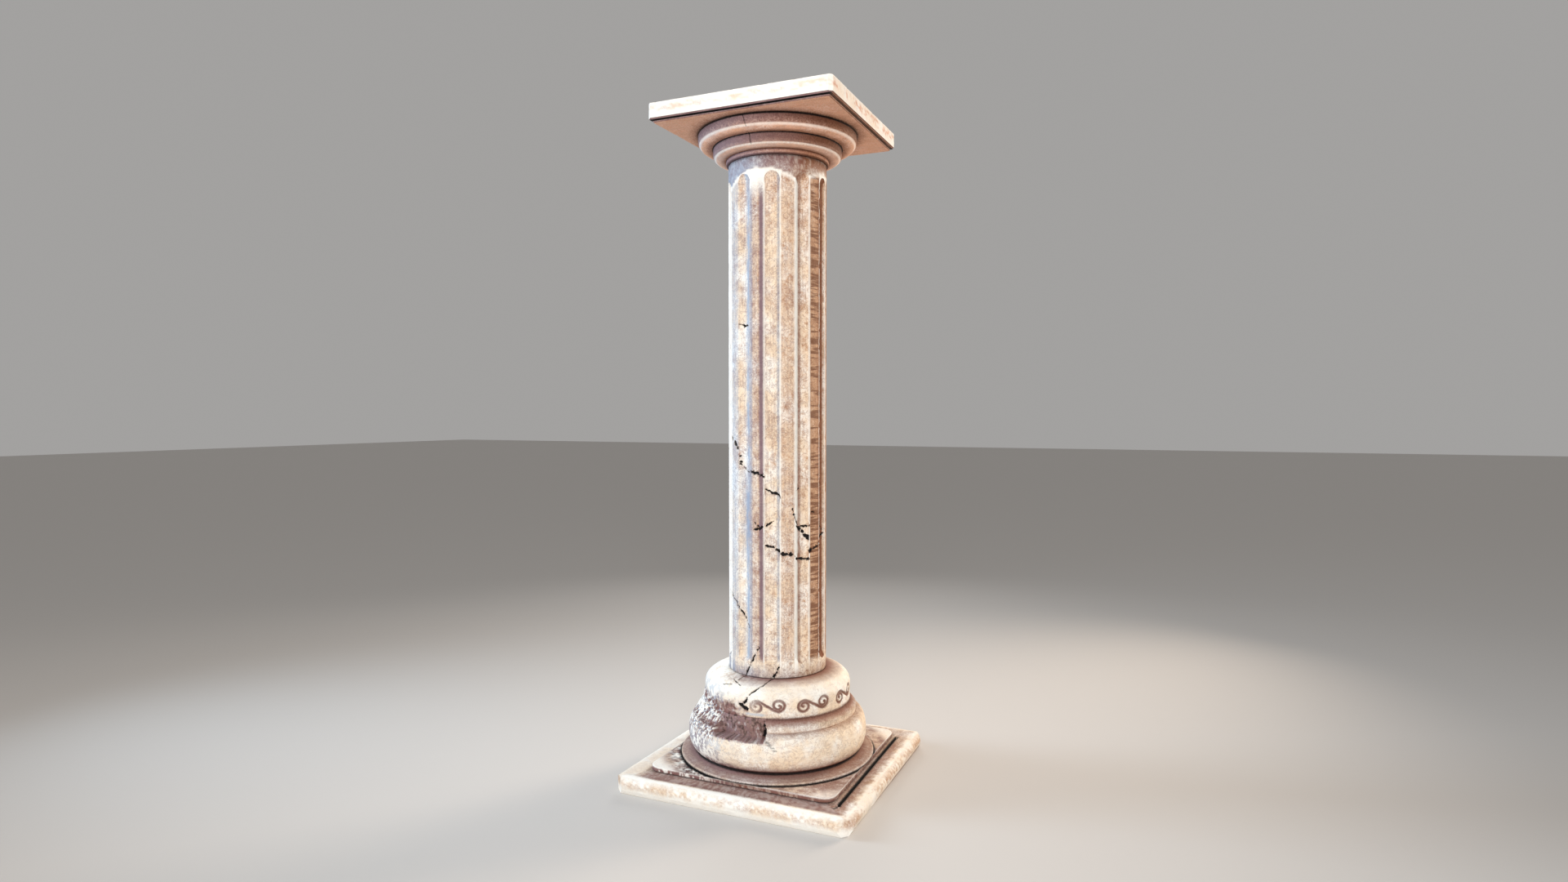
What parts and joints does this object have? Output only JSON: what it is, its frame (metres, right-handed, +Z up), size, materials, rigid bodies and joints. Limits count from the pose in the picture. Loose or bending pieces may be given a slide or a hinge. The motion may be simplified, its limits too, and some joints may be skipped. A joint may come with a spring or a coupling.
{
  "type": "stone column",
  "caption": "Fluted round stone column on a square stepped plinth, with a scroll-carved moulded base and a round capital under a square abacus.",
  "frame": {"origin": "centre of the plinth's underside", "axes": "+Z up along the shaft, -Y the front face of the square slabs, +X the right face"},
  "size_m": [1.104, 1.104, 2.9947],
  "materials": {
    "plinth_stone": "worn, dull, pale cream with brown dirt",
    "step_stone": "worn, dull, brown with dirt",
    "base_stone": "worn, dull, cream, cracked and chipped",
    "shaft_stone": "worn, dull, cream flutes and tan tooled fillets",
    "capital_stone": "worn, dull, purple brown",
    "abacus_stone": "worn, dull, cream, rosy underneath"
  },
  "bodies": {
    "root": {"Plinth": "plinth_stone", "Step": "step_stone", "Base": "base_stone", "Shaft": "shaft_stone", "Capital": "capital_stone", "Abacus": "abacus_stone"}
  },
  "joints": []
}
